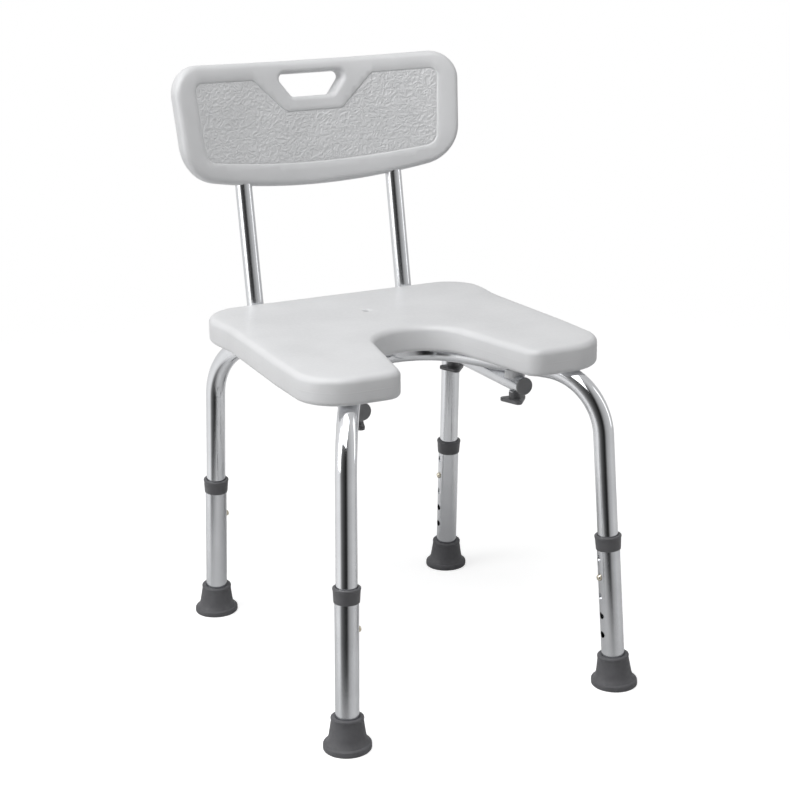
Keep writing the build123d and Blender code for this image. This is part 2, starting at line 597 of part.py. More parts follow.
for end in ENDS:
    for side in SIDES:
        x, y = STUD_PLACES[end, side]

        # moulded saddle that keeps the round rail square to the round bow
        saddle_from = RAIL_Z + RAIL_R - SADDLE_WRAP
        saddle_to = BOW_Z - BOW_R + SADDLE_WRAP
        with BuildPart() as saddle:
            with Locations((x, y, saddle_from)):
                Cylinder(SADDLE_R, saddle_to - saddle_from, align=UPWARDS)
            fillet(saddle.edges(), 0.8)
            add(tube(RAIL_PATHS[side], RAIL_R + FIT), mode=Mode.SUBTRACT)
            add(tube(BOW_PATHS[end], BOW_R + FIT), mode=Mode.SUBTRACT)
            with Locations((x, y, saddle_from)):
                Cylinder(STUD_R + HOLE_CLEARANCE, 4 * SADDLE_WRAP, mode=Mode.SUBTRACT)
        finish(saddle, f"saddle_{end}_{side}")

        with BuildPart() as washer:
            with BuildSketch(Plane.XY.offset(KNOB_TOP + WASHER_GAP)):
                with Locations((x, y)):
                    Circle(WASHER_R)
                    Circle(STUD_R + HOLE_CLEARANCE, mode=Mode.SUBTRACT)
            extrude(amount=WASHER_THICK)
        finish(washer, f"washer_{end}_{side}")

        # three-cornered hand knob with a round hub
        corner_x = -SIDES[side] * sin(radians(KNOB_TURN))
        corner = Vector(corner_x, -cos(radians(KNOB_TURN)), 0)
        knob_plane = Plane(origin=(x, y, KNOB_TOP - KNOB_HEIGHT), x_dir=corner, z_dir=(0, 0, 1))
        with BuildPart() as knob:
            with BuildSketch(knob_plane) as plate:
                RegularPolygon(KNOB_PLATE_R, 3)
                fillet(plate.vertices(), KNOB_PLATE_CORNER)
            extrude(amount=KNOB_PLATE)
            fillet(knob.edges().group_by(Axis.Z)[0] + knob.edges().group_by(Axis.Z)[-1], 1.0)
            with BuildSketch(knob_plane):
                Circle(KNOB_HUB_R)
            extrude(amount=KNOB_HEIGHT)
            fillet(knob.edges().group_by(Axis.Z)[-1], 0.8)
            with BuildSketch(knob_plane.offset(KNOB_HEIGHT)):
                Circle(STUD_R + 0.05)
            extrude(amount=-STUD_IN_KNOB, mode=Mode.SUBTRACT)
        finish(knob, f"knob_{end}_{side}")

        with BuildPart() as stud:
            with BuildSketch(Plane.XY.offset(KNOB_TOP - STUD_IN_KNOB)):
                with Locations((x, y)):
                    Circle(STUD_R)
            extrude(amount=STUD_TOP - KNOB_TOP + STUD_IN_KNOB)
            chamfer(stud.edges().sort_by(Axis.Z)[-1], 0.8)
        finish(stud, f"knob_stud_{end}_{side}")

# ---- place and write -------------------------------------------------------------------------------------
boxes = [piece.bounding_box() for piece in pieces]
front_y = min(box.min.Y for box in boxes)
rear_y = max(box.max.Y for box in boxes)
floor_z = min(box.min.Z for box in boxes)
to_origin = Location((0, -(front_y + rear_y) / 2, -floor_z))
os.makedirs("parts", exist_ok=True)
for piece in pieces:
    placed = piece.moved(to_origin)
    placed.label = piece.label
    export_step(placed, f"parts/{piece.label}.step")
print("moved to the origin by", to_origin.position)
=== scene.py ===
import json
import math
import bmesh
import bpy
import numpy as np
from mathutils import Matrix, Vector, bvhtree, kdtree, noise
from mathutils.geometry import delaunay_2d_cdt


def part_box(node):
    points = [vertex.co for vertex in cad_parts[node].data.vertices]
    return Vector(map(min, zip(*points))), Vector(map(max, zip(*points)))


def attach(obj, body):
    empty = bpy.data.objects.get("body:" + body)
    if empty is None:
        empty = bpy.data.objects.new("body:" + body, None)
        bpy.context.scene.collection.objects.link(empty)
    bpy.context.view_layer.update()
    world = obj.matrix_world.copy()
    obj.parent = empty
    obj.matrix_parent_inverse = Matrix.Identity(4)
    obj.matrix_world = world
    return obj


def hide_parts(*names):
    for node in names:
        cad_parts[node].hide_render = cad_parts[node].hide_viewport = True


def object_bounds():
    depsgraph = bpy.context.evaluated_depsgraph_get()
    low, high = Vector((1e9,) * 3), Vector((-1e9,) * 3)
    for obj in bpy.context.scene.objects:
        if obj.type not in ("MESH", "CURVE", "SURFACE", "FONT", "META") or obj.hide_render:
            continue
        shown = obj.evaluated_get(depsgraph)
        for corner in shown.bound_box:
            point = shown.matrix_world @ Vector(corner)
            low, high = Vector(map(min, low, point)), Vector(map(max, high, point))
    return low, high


# Shower chair: a moulded seat with a cut-out and a moulded backrest on bent aluminium tubes, with
# telescoping legs. -Y is the sitter's front, +X the right of someone facing the chair, +Z up, metres.
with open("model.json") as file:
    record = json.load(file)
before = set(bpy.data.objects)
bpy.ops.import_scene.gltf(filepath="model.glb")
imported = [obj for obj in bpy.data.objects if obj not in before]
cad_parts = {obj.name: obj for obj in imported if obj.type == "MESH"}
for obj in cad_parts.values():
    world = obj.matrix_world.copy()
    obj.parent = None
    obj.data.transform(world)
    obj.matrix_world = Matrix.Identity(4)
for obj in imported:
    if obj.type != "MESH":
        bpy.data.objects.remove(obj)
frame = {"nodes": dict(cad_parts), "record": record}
cad_low, cad_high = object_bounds()
cad = frame["nodes"]
record = frame["record"]
scene = bpy.context.scene
MM = 0.001
CORNERS = [f"{end}_{side}" for end in ("front", "rear") for side in ("left", "right")]

# ---- Studio: a pale floor that runs out to a pale room ----------------------------------------
# A sheet of paper that fades out stands in for the floor. A wide soft light hangs over the chair and a
# taller one stands at the left. Bright and dark screens all round give the tubes their long streaks.
FLOOR_HALF = 3.0
FADE_START, FADE_END = 0.20, 0.62  # shares of FLOOR_HALF
MIRRORED_FADE = 1.8  # how much sooner the paper ends in reflections
PAPER_GLOW = 0.66  # lifts the paper to the room's white, for the camera only
floor_mesh = bpy.data.meshes.new("studio_floor")
floor_corners = [(-FLOOR_HALF, -FLOOR_HALF), (FLOOR_HALF, -FLOOR_HALF), (FLOOR_HALF, FLOOR_HALF),
                 (-FLOOR_HALF, FLOOR_HALF)]
floor_mesh.from_pydata([(x, y, cad_low.z) for x, y in floor_corners], [], [(0, 1, 2, 3)])
floor = bpy.data.objects.new("studio_floor", floor_mesh)
scene.collection.objects.link(floor)


def new_material(name, **values):
    """A node material whose Principled shader has some sockets set: Base_Color is Base Color."""
    material = bpy.data.materials.new(name)
    material.use_nodes = True
    shader = material.node_tree.nodes["Principled BSDF"]
    for key, value in values.items():
        socket = shader.inputs[key.replace("_", " ")]
        socket.default_value = (*value, 1.0) if isinstance(value, tuple) else value
    return material, shader


def worked(tree, operation, *values):
    """A maths node's result, from sockets and plain numbers."""
    node = tree.nodes.new("ShaderNodeMath")
    node.operation = operation
    for socket, value in zip(node.inputs, values):
        if isinstance(value, bpy.types.NodeSocket):
            tree.links.new(value, socket)
        else:
            socket.default_value = value
    return node.outputs[0]


def ranged(tree, source, low, high, from_low=0.0, from_high=1.0):
    """A value moved from one range to another."""
    node = tree.nodes.new("ShaderNodeMapRange")
    ends = {"From Min": from_low, "From Max": from_high, "To Min": low, "To Max": high}
    for key, value in ends.items():
        node.inputs[key].default_value = value
    tree.links.new(source, node.inputs["Value"])
    return node.outputs[0]


def spread(tree, source, stops):
    """A value read off a row of (place, value) stops."""
    strip = tree.nodes.new("ShaderNodeValToRGB")
    strip.color_ramp.interpolation = "EASE"
    for i, (place, value) in enumerate(stops):
        stop = strip.color_ramp.elements[i] if i < 2 else strip.color_ramp.elements.new(place)
        stop.position = place
        stop.color = (value, value, value, 1.0)
    tree.links.new(source, strip.inputs[0])
    return strip.outputs[0]


paper, sheet = new_material("studio_paper", Base_Color=(0.70, 0.70, 0.70), Roughness=0.9,
                            Specular_IOR_Level=0.0, Emission_Color=(1.0, 1.0, 1.0))
floor_mesh.materials.append(paper)
paper_tree = paper.node_tree
from_middle = paper_tree.nodes.new("ShaderNodeVectorMath")
from_middle.operation = "LENGTH"
paper_place = paper_tree.nodes.new("ShaderNodeTexCoord")
paper_tree.links.new(paper_place.outputs["Object"], from_middle.inputs[0])
radius = worked(paper_tree, "DIVIDE", from_middle.outputs["Value"], FLOOR_HALF)
ray = paper_tree.nodes.new("ShaderNodeLightPath")
sooner = worked(paper_tree, "MULTIPLY_ADD", ray.outputs["Is Glossy Ray"], MIRRORED_FADE, 1.0)
reach = worked(paper_tree, "MULTIPLY", radius, sooner)
glow = ranged(paper_tree, ray.outputs["Is Camera Ray"], 0.0, PAPER_GLOW)
paper_tree.links.new(glow, sheet.inputs["Emission Strength"])
clear = paper_tree.nodes.new("ShaderNodeBsdfTransparent")
fade = paper_tree.nodes.new("ShaderNodeMixShader")
gone = spread(paper_tree, reach, [(FADE_START, 0.0), (FADE_END, 1.0)])
paper_tree.links.new(gone, fade.inputs[0])
paper_tree.links.new(sheet.outputs[0], fade.inputs[1])
paper_tree.links.new(clear.outputs[0], fade.inputs[2])
paper_tree.links.new(fade.outputs[0], paper_tree.nodes["Material Output"].inputs["Surface"])

# The screens: how bright the room is at each bearing, a full turn from -X by way of -Y, +X and +Y. The
# camera sees plain white instead, and matt surfaces get less of the screens.
SCREENS = [(0.0, 0.75), (0.04, 0.22), (0.08, 0.11), (0.123, 0.05), (0.179, 0.01), (0.209, 0.10),
           (0.24, 0.36), (0.304, 0.52), (0.387, 0.66), (0.54, 0.60), (0.68, 0.68), (0.845, 0.86),
           (0.93, 0.98), (0.985, 0.95), (1.0, 0.75)]
MATT_SHARE = 0.38
room = bpy.data.worlds.new("studio_room")
scene.world = room
room.use_nodes = True
room_tree = room.node_tree
sight = room_tree.nodes.new("ShaderNodeLightPath")
direction = room_tree.nodes.new("ShaderNodeSeparateXYZ")
room_place = room_tree.nodes.new("ShaderNodeTexCoord")
room_tree.links.new(room_place.outputs["Generated"], direction.inputs[0])
bearing = worked(room_tree, "ARCTAN2", direction.outputs["Y"], direction.outputs["X"])
turn = ranged(room_tree, bearing, 0.0, 1.0, -math.pi, math.pi)
lit = room_tree.nodes["Background"]
room_tree.links.new(spread(room_tree, turn, SCREENS), lit.inputs["Color"])
strength = ranged(room_tree, sight.outputs["Is Diffuse Ray"], 1.0, MATT_SHARE)
room_tree.links.new(strength, lit.inputs["Strength"])
seen = room_tree.nodes.new("ShaderNodeBackground")
seen.inputs["Color"].default_value = (1.0, 1.0, 1.0, 1.0)
either = room_tree.nodes.new("ShaderNodeMixShader")
room_tree.links.new(sight.outputs["Is Camera Ray"], either.inputs[0])
room_tree.links.new(lit.outputs[0], either.inputs[1])
room_tree.links.new(seen.outputs[0], either.inputs[2])
room_tree.links.new(either.outputs[0], room_tree.nodes["World Output"].inputs["Surface"])


def soft_light(name, place, target, size, power):
    """A rectangular area light that faces a point."""
    lamp = bpy.data.lights.new(name, "AREA")
    lamp.shape = "RECTANGLE"
    lamp.size, lamp.size_y = size
    lamp.energy = power
    holder = bpy.data.objects.new(name, lamp)
    holder.location = place
    holder.rotation_euler = (Vector(target) - Vector(place)).to_track_quat("-Z", "Y").to_euler()
    scene.collection.objects.link(holder)


soft_light("overhead_softbox", (-0.9, -0.7, 2.4), (0.0, 0.0, 0.4), (2.0, 2.0), 46.0)
soft_light("left_softbox", (-2.6, 0.2, 1.3), (0.0, 0.0, 0.5), (1.6, 2.2), 25.0)
soft_light("right_strip", (2.4, -0.9, 1.2), (0.0, 0.0, 0.5), (0.5, 2.2), 5.0)
scene.view_settings.view_transform = "Standard"
scene.view_settings.look = "None"

# The camera looks down a little from the front left, with a long lens.
CAMERA_PLACE = (-0.9434, -1.95925, 0.9979)
camera_data = bpy.data.cameras.new("camera")
camera_data.sensor_width = 36.0
camera_data.lens = 80.83
camera_data.clip_end = 100.0
camera = bpy.data.objects.new("camera", camera_data)
azimuth, elevation, roll = [math.radians(angle) for angle in (-25.73, 16.80, -0.82)]
towards = Vector((-math.sin(azimuth) * math.cos(elevation), math.cos(azimuth) * math.cos(elevation),
                  -math.sin(elevation)))
aim = towards.to_track_quat("-Z", "Y").to_matrix() @ Matrix.Rotation(roll, 3, "Z")
camera.matrix_world = Matrix.Translation(CAMERA_PLACE) @ aim.to_4x4()
scene.collection.objects.link(camera)
scene.camera = camera

# ---- Seat -------------------------------------------------------------------------------------
# A hollow seat, blow moulded in white polyethylene, a little dished, with a keyhole-shaped cut-out at
# the front and a drain hole. The bows lie in channels in its underside, and four studs hold it.
ROUNDING = [math.radians(angle) for angle in (0, 15, 30, 45, 60, 75, 90)]
# the mould's parting line, up and out in mm; its outer rings keep the shading flat beside it
SEAM = ((-1.4, 0.0), (-0.9, 0.0), (-0.35, 0.1), (0.35, 0.1), (0.9, 0.0), (1.4, 0.0))
STEP, FACE_STEP = 2.5 * MM, 6 * MM
CLEAR_SHARE = 0.6  # how far the grid's points keep from an edge, as a share of their step
SAME_POINT = 0.001 * MM


def rounded(corners, step=STEP):
    """A closed loop of points through (x, y, radius) corners, in their order."""
    points = []
    for i, (x, y, radius) in enumerate(corners):
        corner = Vector((x, y))
        back = (Vector(corners[i - 1][:2]) - corner).normalized()
        onward = (Vector(corners[(i + 1) % len(corners)][:2]) - corner).normalized()
        half = back.angle(onward) / 2
        middle = corner + (back + onward).normalized() * radius / math.sin(half)
        first = corner + back * radius / math.tan(half) - middle
        last = corner + onward * radius / math.tan(half) - middle
        turn = first.angle_signed(last)
        steps = max(2, math.ceil(abs(turn) * radius / step))
        points += [middle + Matrix.Rotation(-turn * k / steps, 2) @ first for k in range(steps + 1)]
    loop = []
    for a, b in zip(points, points[1:] + points[:1]):
        gap = (b - a).length
        steps = max(1, round(gap / step))
        loop += [a.lerp(b, k / steps) for k in range(steps)] if gap > step / 50 else []
    return loop


def inset(loop, distance):
    """Moves each point of a loop to its left, square to the loop."""
    moved = []
    for i, point in enumerate(loop):
        along = (loop[(i + 1) % len(loop)] - loop[i - 1]).normalized()
        moved.append(point + Vector((-along.y, along.x)) * distance)
    return moved


def tree_of(points):
    """A search tree over flat points."""
    tree = kdtree.KDTree(len(points))
    for i, p in enumerate(points):
        tree.insert((p.x, p.y, 0), i)
    tree.balance()
    return tree


def gap_to(tree, p):
    """The distance from a flat point to the nearest point of a tree."""
    return tree.find((p.x, p.y, 0))[2]


def depth_in(loop):
    """A function that gives how far inside a closely spaced loop a flat point lies, below 0 outside."""
    tree = tree_of(loop)

    def depth(p):
        _, i, gap = tree.find((p.x, p.y, 0))
        along = loop[(i + 1) % len(loop)] - loop[i - 1]
        return math.copysign(gap, along.cross(p - loop[i]))

    return depth


def within(loop, points):
    """For each point, whether it lies inside a closed loop."""
    x, y = np.array([tuple(p) for p in points]).T
    odd = np.zeros(len(x), bool)
    for a, b in zip(loop, loop[1:] + loop[:1]):
        if a.y != b.y:
            crosses = (a.y > y) != (b.y > y)
            odd ^= crosses & (x < a.x + (y - a.y) * (b.x - a.x) / (b.y - a.y))
    return odd


def fill(rim, holes, lines, step, detail=None):
    """Triangles that fill a rim around its holes, with edges along the lines. detail is a loop and the
    closer step inside it."""
    loops = [rim, *holes, *lines]
    points = [p for loop in loops for p in loop]
    edges, first = [], 0
    for loop in loops:
        edges += [(first + i, first + (i + 1) % len(loop)) for i in range(len(loop))]
        first += len(loop)
    border = tree_of(points)
    low = Vector((min(p.x for p in rim), min(p.y for p in rim)))
    high = Vector((max(p.x for p in rim), max(p.y for p in rim)))
    for size, inner in [(step, False)] + ([(detail[1], True)] if detail else []):
        clear_of_edges = CLEAR_SHARE * min(size, step)
        grid = [Vector((low.x + size * (column + 0.5 * (row % 2)), low.y + size * row))
                for row in range(1, int((high.y - low.y) / size))
                for column in range(1, int((high.x - low.x) / size))]
        keep = within(rim, grid)
        for hole in holes:
            keep &= ~within(hole, grid)
        if detail:
            keep &= within(detail[0], grid) == inner
        points += [p for p, good in zip(grid, keep) if good and gap_to(border, p) > clear_of_edges]
    made, _, faces, *_ = delaunay_2d_cdt(points, edges, [], 1, SAME_POINT / 10)
    hole_points = [tree_of(hole) for hole in holes]
    kept = [face for face in faces
            if not any(all(gap_to(tree, made[i]) < SAME_POINT for i in face) for tree in hole_points)]
    return made, kept


def moulding(name, rim, holes, front, back, edges, place, lines=(), detail=None, back_step=FACE_STEP):
    """A hollow-looking plate with rounded edges and a parting line. front and back give the two faces'
    heights at a flat point, edges the (front, back) radii of the rim and each hole, and place turns
    (across, up, height) into the chair's space. Holes run clockwise."""
    mesh = bmesh.new()

    def vert(p, height):
        return mesh.verts.new(place(p.x, p.y, height))

    inner = {True: [], False: []}
    ends = {True: [], False: []}
    for loop, (front_edge, back_edge) in zip([rim, *holes], edges):
        rings = []
        for angle in reversed(ROUNDING):
            ring = inset(loop, back_edge * (1 - math.cos(angle)))
            rings.append([vert(p, back(p) + back_edge * (1 - math.sin(angle))) for p in ring])
        if loop is rim:
            for rise, out in SEAM:
                middle = [(front(p) - front_edge + back(p) + back_edge) / 2 + rise * MM for p in loop]
                rings.append([vert(p, height) for p, height in zip(inset(loop, -out * MM), middle)])
        for angle in ROUNDING:
            ring = inset(loop, front_edge * (1 - math.cos(angle)))
            rings.append([vert(p, front(p) - front_edge * (1 - math.sin(angle))) for p in ring])
        for low, high in zip(rings, rings[1:]):
            for i in range(len(low)):
                j = (i + 1) % len(low)
                mesh.faces.new((low[i], low[j], high[j], high[i]))
        inner[True].append(inset(loop, front_edge))
        inner[False].append(inset(loop, back_edge))
        ends[True].append(rings[-1])
        ends[False].append(rings[0])

    for up, face_height, size in ((True, front, FACE_STEP), (False, back, back_step)):
        border = [p for loop in inner[up] for p in loop]
        border_verts = [v for ring in ends[up] for v in ring]
        nearest = tree_of(border)
        rim_in, *holes_in = inner[up]
        made, faces = fill(rim_in, holes_in, lines if up else (), size, detail if up else None)
        verts = []
        for p in made:
            _, index, gap = nearest.find((p.x, p.y, 0))
            verts.append(border_verts[index] if gap < SAME_POINT else vert(p, face_height(p)))
        for face in faces:
            corner = [verts[i] for i in face]
            if len(set(corner)) == 3:
                mesh.faces.new(corner if up else corner[::-1])
    bmesh.ops.recalc_face_normals(mesh, faces=mesh.faces)
    return finished(name, mesh)


def finished(name, mesh):
    """Turns a bmesh into a smooth-shaded piece in the scene."""
    data = bpy.data.meshes.new(name)
    mesh.to_mesh(data)
    mesh.free()
    data.shade_smooth()
    piece = bpy.data.objects.new(name, data)
    scene.collection.objects.link(piece)
    return piece


def ease(t):
    """A smooth rise from 0 to 1."""
    t = min(1.0, max(0.0, t))
    return t * t * (3 - 2 * t)


def tube_surface(*names):
    """A search tree over the faces of some CAD tubes."""
    verts, faces = [], []
    for name in names:
        first = len(verts)
        verts += [v.co.copy() for v in cad[name].data.vertices]
        faces += [[first + i for i in face.vertices] for face in cad[name].data.polygons]
    return bvhtree.BVHTree.FromPolygons(verts, faces)


seat_low, seat_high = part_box("seat")
seat_rear, seat_front = seat_high.y, seat_low.y
REAR_HALF, WAIST_HALF, FRONT_HALF = 197.0 * MM, 192.5 * MM, seat_high.x
CUTOUT_R = 61.0 * MM
CUTOUT_MOUTH = 86.0 * MM
cutout_y = seat_front + 116 * MM  # the middle of the cut-out's round end
mouth = Vector((CUTOUT_MOUTH, seat_front - cutout_y))
cutout_side = math.atan2(-mouth.y, -mouth.x) - math.asin(CUTOUT_R / mouth.length)
# the straight sides run into the round end without a corner
shoulder = mouth.x + (CUTOUT_R - mouth.y) / math.tan(cutout_side)
waist_y = seat_rear - 101 * MM
right_side = [(FRONT_HALF, seat_front, 56 * MM), (FRONT_HALF, seat_front + 112 * MM, 300 * MM),
              (WAIST_HALF, waist_y, 180 * MM), (REAR_HALF, seat_rear - 62 * MM, 90 * MM),
              (REAR_HALF, seat_rear, 52 * MM)]
cutout_left = [(-CUTOUT_MOUTH, seat_front, 21 * MM), (-shoulder, cutout_y + CUTOUT_R, CUTOUT_R * 0.995)]


def mirrored(corners):
    """The same corners on the other side, so that the two halves make one outline."""
    return [(-x, y, radius) for x, y, radius in reversed(corners)]


seat_corners = right_side + mirrored(right_side) + cutout_left + mirrored(cutout_left)
DRAIN_R, DRAIN_SINK = 4.5 * MM, 3.0 * MM
drain_y = seat_rear - 103 * MM
drain_corners = [(across * DRAIN_R, drain_y + up * DRAIN_R, DRAIN_R * 0.99)
                 for across, up in ((-1, -1), (-1, 1), (1, 1), (1, -1))]
drain = rounded(drain_corners, 1.1 * MM)
DISH, DISH_START, DISH_WIDTH = 1.6 * MM, 18 * MM, 90 * MM
ROLL, ROLL_WIDTH = 1.2 * MM, 26 * MM
TOP_EDGE, BOTTOM_EDGE = 7.5 * MM, 6 * MM
TUBE_ROOM = 0.4 * MM
seat_depth = depth_in(rounded(seat_corners, MM))
bows = tube_surface("front_bow", "rear_bow")
uprights = tube_surface("rail_left", "rail_right")


def seat_top(p):
    """The sitting face: a shallow dish that rolls off softly at the edges."""
    edge = max(0.0, seat_depth(p))
    roll = ROLL * max(0.0, 1 - edge / ROLL_WIDTH) ** 2
    return seat_high.z - roll - DISH * ease((edge - DISH_START) / DISH_WIDTH)


def seat_underside(p):
    """The lower face, with channels that the bows lie in."""
    hit = bows.ray_cast(Vector((p.x, p.y, seat_high.z)), Vector((0, 0, -1)))[0]
    return max(seat_low.z, hit.z + TUBE_ROOM) if hit else seat_low.z


def as_it_lies(x, y, height):
    """The seat is drawn in place."""
    return Vector((x, y, height))


seat = moulding("seat_moulding", rounded(seat_corners), [drain], seat_top, seat_underside,
                [(TOP_EDGE, BOTTOM_EDGE), (DRAIN_SINK, MM)], as_it_lies, back_step=3 * MM)
# the rear edge keeps clear of the uprights
REAR_STRIP = 15 * MM
for v in seat.data.vertices:
    if v.co.y > seat_rear - REAR_STRIP and abs(v.co.x) > WAIST_HALF / 3:
        hit = uprights.ray_cast(Vector((v.co.x, 0, v.co.z)), Vector((0, 1, 0)))[0]
        if hit:
            v.co.y = min(v.co.y, hit.y - TUBE_ROOM)


def group_sockets(group, inputs, outputs):
    """Names a node group's value sockets and returns its input and output nodes."""
    for name, default in inputs.items():
        socket = group.interface.new_socket(name, in_out="INPUT", socket_type="NodeSocketFloat")
        socket.default_value = default
    for name in outputs:
        group.interface.new_socket(name, in_out="OUTPUT", socket_type="NodeSocketFloat")
    return group.nodes.new("NodeGroupInput"), group.nodes.new("NodeGroupOutput")


def cloud(group, place, size, detail, target):
    """A noise of a given size, put out at a group's socket."""
    pattern = group.nodes.new("ShaderNodeTexNoise")
    pattern.inputs["Detail"].default_value = detail
    group.links.new(place, pattern.inputs["Vector"])
    group.links.new(size, pattern.inputs["Scale"])
    group.links.new(pattern.outputs[0], target)


# moulded skin: Grain is the fine tooth of a blasted mould, Specks its coarser marks, and Flow the slow
# drift of a plastic's surface
skin = bpy.data.node_groups.new("moulded_skin", "ShaderNodeTree")
skin_in, skin_out = group_sockets(skin, {"Grain Size": 0.6 * MM, "Flow Size": 40 * MM},
                                  ("Grain", "Flow", "Specks"))
skin_place = skin.nodes.new("ShaderNodeTexCoord")
for output, size, detail, coarser in (("Grain", "Grain Size", 3.0, 1.0), ("Flow", "Flow Size", 2.0, 1.0),
                                      ("Specks", "Grain Size", 0.0, 6.0)):
    scale = worked(skin, "DIVIDE", 1.0 / coarser, skin_in.outputs[size])
    cloud(skin, skin_place.outputs["Object"], scale, detail, skin_out.inputs[output])
CLOUD_LOW, CLOUD_HIGH = 0.3, 0.7  # where nearly all of a noise lies


def ramp(material, source, target, low, high):
    """Feeds a shader socket from a noise, spread between two values or colours."""
    tree = material.node_tree
    if not isinstance(low, tuple):
        tree.links.new(ranged(tree, source, low, high, CLOUD_LOW, CLOUD_HIGH), target)
        return
    mix = tree.nodes.new("ShaderNodeMix")
    mix.data_type = "RGBA"
    mix.inputs[6].default_value = (*low, 1.0)
    mix.inputs[7].default_value = (*high, 1.0)
    tree.links.new(ranged(tree, source, 0.0, 1.0, CLOUD_LOW, CLOUD_HIGH), mix.inputs[0])
    tree.links.new(mix.outputs[2], target)


def bump(material, shader, height, distance):
    """Puts a fine relief on a material from a height value."""
    relief = material.node_tree.nodes.new("ShaderNodeBump")
    relief.inputs["Distance"].default_value = distance
    relief.inputs["Strength"].default_value = 1.0
    material.node_tree.links.new(height, relief.inputs["Height"])
    material.node_tree.links.new(relief.outputs[0], shader.inputs["Normal"])


def moulded(name, dark, light, rough, grain, flow, depth, **values):
    """A moulded plastic or rubber: two close colours, a roughness range and a fine tooth."""
    material, shader = new_material(name, **values)
    texture = material.node_tree.nodes.new("ShaderNodeGroup")
    texture.node_tree = skin
    texture.inputs["Grain Size"].default_value = grain
    texture.inputs["Flow Size"].default_value = flow
    ramp(material, texture.outputs["Flow"], shader.inputs["Base Color"], dark, light)
    ramp(material, texture.outputs["Specks"], shader.inputs["Roughness"], *rough)
    bump(material, shader, texture.outputs["Grain"], depth)
    return material


white_plastic = moulded("moulded_white", (0.685, 0.69, 0.70), (0.73, 0.735, 0.745), (0.34, 0.46),
                        grain=0.7 * MM, flow=60 * MM, depth=0.05 * MM, IOR=1.52)
seat.data.materials.append(white_plastic)
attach(seat, "frame")
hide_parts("seat")

# ---- Backrest ---------------------------------------------------------------------------------
# A hollow backrest, blow moulded in the same white polyethylene and curved round the sitter's back. A
# sunken panel with a leather-like grain dips under the hand hole. It slides over the uprights' ends.
RAIL_R, SOCKET = 11.1 * MM, 118 * MM
LEAN = math.radians(9.8)
up_lean = Vector((0, math.sin(LEAN), math.cos(LEAN)))
forward = Vector((0, -math.cos(LEAN), math.sin(LEAN)))
rail_low, rail_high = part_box("rail_right")
rail_end = Vector((0, rail_high.y - RAIL_R * math.cos(LEAN), rail_high.z - RAIL_R * math.sin(LEAN)))
board_foot = rail_end - up_lean * SOCKET
rail_x = (rail_low.x + rail_high.x) / 2
CURVE_R = 570 * MM
HALF_THICK = 15 * MM
HEIGHT, HALF_TOP, HALF_BOTTOM, BOTTOM_RISE = 163 * MM, 206 * MM, 197 * MM, 18 * MM


def on_board(u, v, w):
    """The point u across, v up the lean and w forward of the uprights' plane."""
    return board_foot + Vector((u, 0, 0)) + up_lean * v + forward * w


def board_height(u):
    """How far the board's middle is in front of the uprights' plane."""
    return (CURVE_R ** 2 - rail_x ** 2) ** 0.5 - (CURVE_R ** 2 - u ** 2) ** 0.5


LOWER_EDGE = (0, -16 * MM, 904 * MM)  # a shallow bow that just reaches the lowest point
right_end = [(HALF_BOTTOM, BOTTOM_RISE, 54 * MM), (HALF_TOP, HEIGHT, 38 * MM)]
board_corners = [LOWER_EDGE, *right_end, *mirrored(right_end)]
right_of_hole = [(53 * MM, 146 * MM, 7 * MM), (29.5 * MM, 115 * MM, 8 * MM)]
hand_hole = rounded(right_of_hole + mirrored(right_of_hole), 1.5 * MM)
right_panel = [(168 * MM, 36 * MM, 18 * MM), (177 * MM, 141 * MM, 13 * MM), (86 * MM, 141 * MM, 9 * MM),
               (40 * MM, 97 * MM, 9 * MM)]
panel_corners = [(0, 19 * MM, 1330 * MM), *right_panel, *mirrored(right_panel)]
PANEL_DEPTH, BEVEL, PLAIN_STRIP = 1.7 * MM, 1.8 * MM, 2 * MM
RIM_EDGE, HOLE_EDGE = (8 * MM, 8 * MM), (6.5 * MM, 5 * MM)
ROLL_OUT, ROLL_OUT_WIDTH = 2.2 * MM, 22 * MM
panel = rounded(panel_corners, 1.2 * MM)
panel_depth = depth_in(rounded(panel_corners, 0.3 * MM))
board_depth = depth_in(rounded(board_corners, MM))
PEBBLE, PEBBLE_DEPTH = 4.8 * MM, 0.8 * MM
PEBBLE_STRETCH, RIDGE_WIDTH = 1.25, 0.15
CURL_SHARE, CURL = 0.45, 1.1  # how slowly and how far the ridges wander
SECOND_RIDGES = 0.85  # the height of the ridges that cross the first ones
ELSEWHERE = Vector((31.4, 17.7, 5.2))
noise.seed_set(5)  # without a seed the curls would start from the clock


def pebble(p):
    """The panel's grain: soft curling ridges, like creased leather, 0 to 1."""
    at = Vector((p.x / PEBBLE_STRETCH, p.y, 0)) / PEBBLE
    curled = at + noise.noise_vector(at * CURL_SHARE) * CURL
    first, second = [math.exp(-(noise.noise(q) / RIDGE_WIDTH) ** 2) for q in (curled, curled + ELSEWHERE)]
    return max(first, SECOND_RIDGES * second)


def board_front(p):
    """The face the sitter leans on, with the rolled border and the sunken, grained panel."""
    height = board_height(p.x) + HALF_THICK
    height -= ROLL_OUT * max(0.0, 1 - max(0.0, board_depth(p)) / ROLL_OUT_WIDTH) ** 2
    edge = panel_depth(p)
    if edge > 0:
        height -= PANEL_DEPTH * ease(edge / BEVEL)
        height += PEBBLE_DEPTH * pebble(p) * ease((edge - BEVEL) / PLAIN_STRIP)
    return height


def board_back(p):
    """The rear face."""
    return board_height(p.x) - HALF_THICK


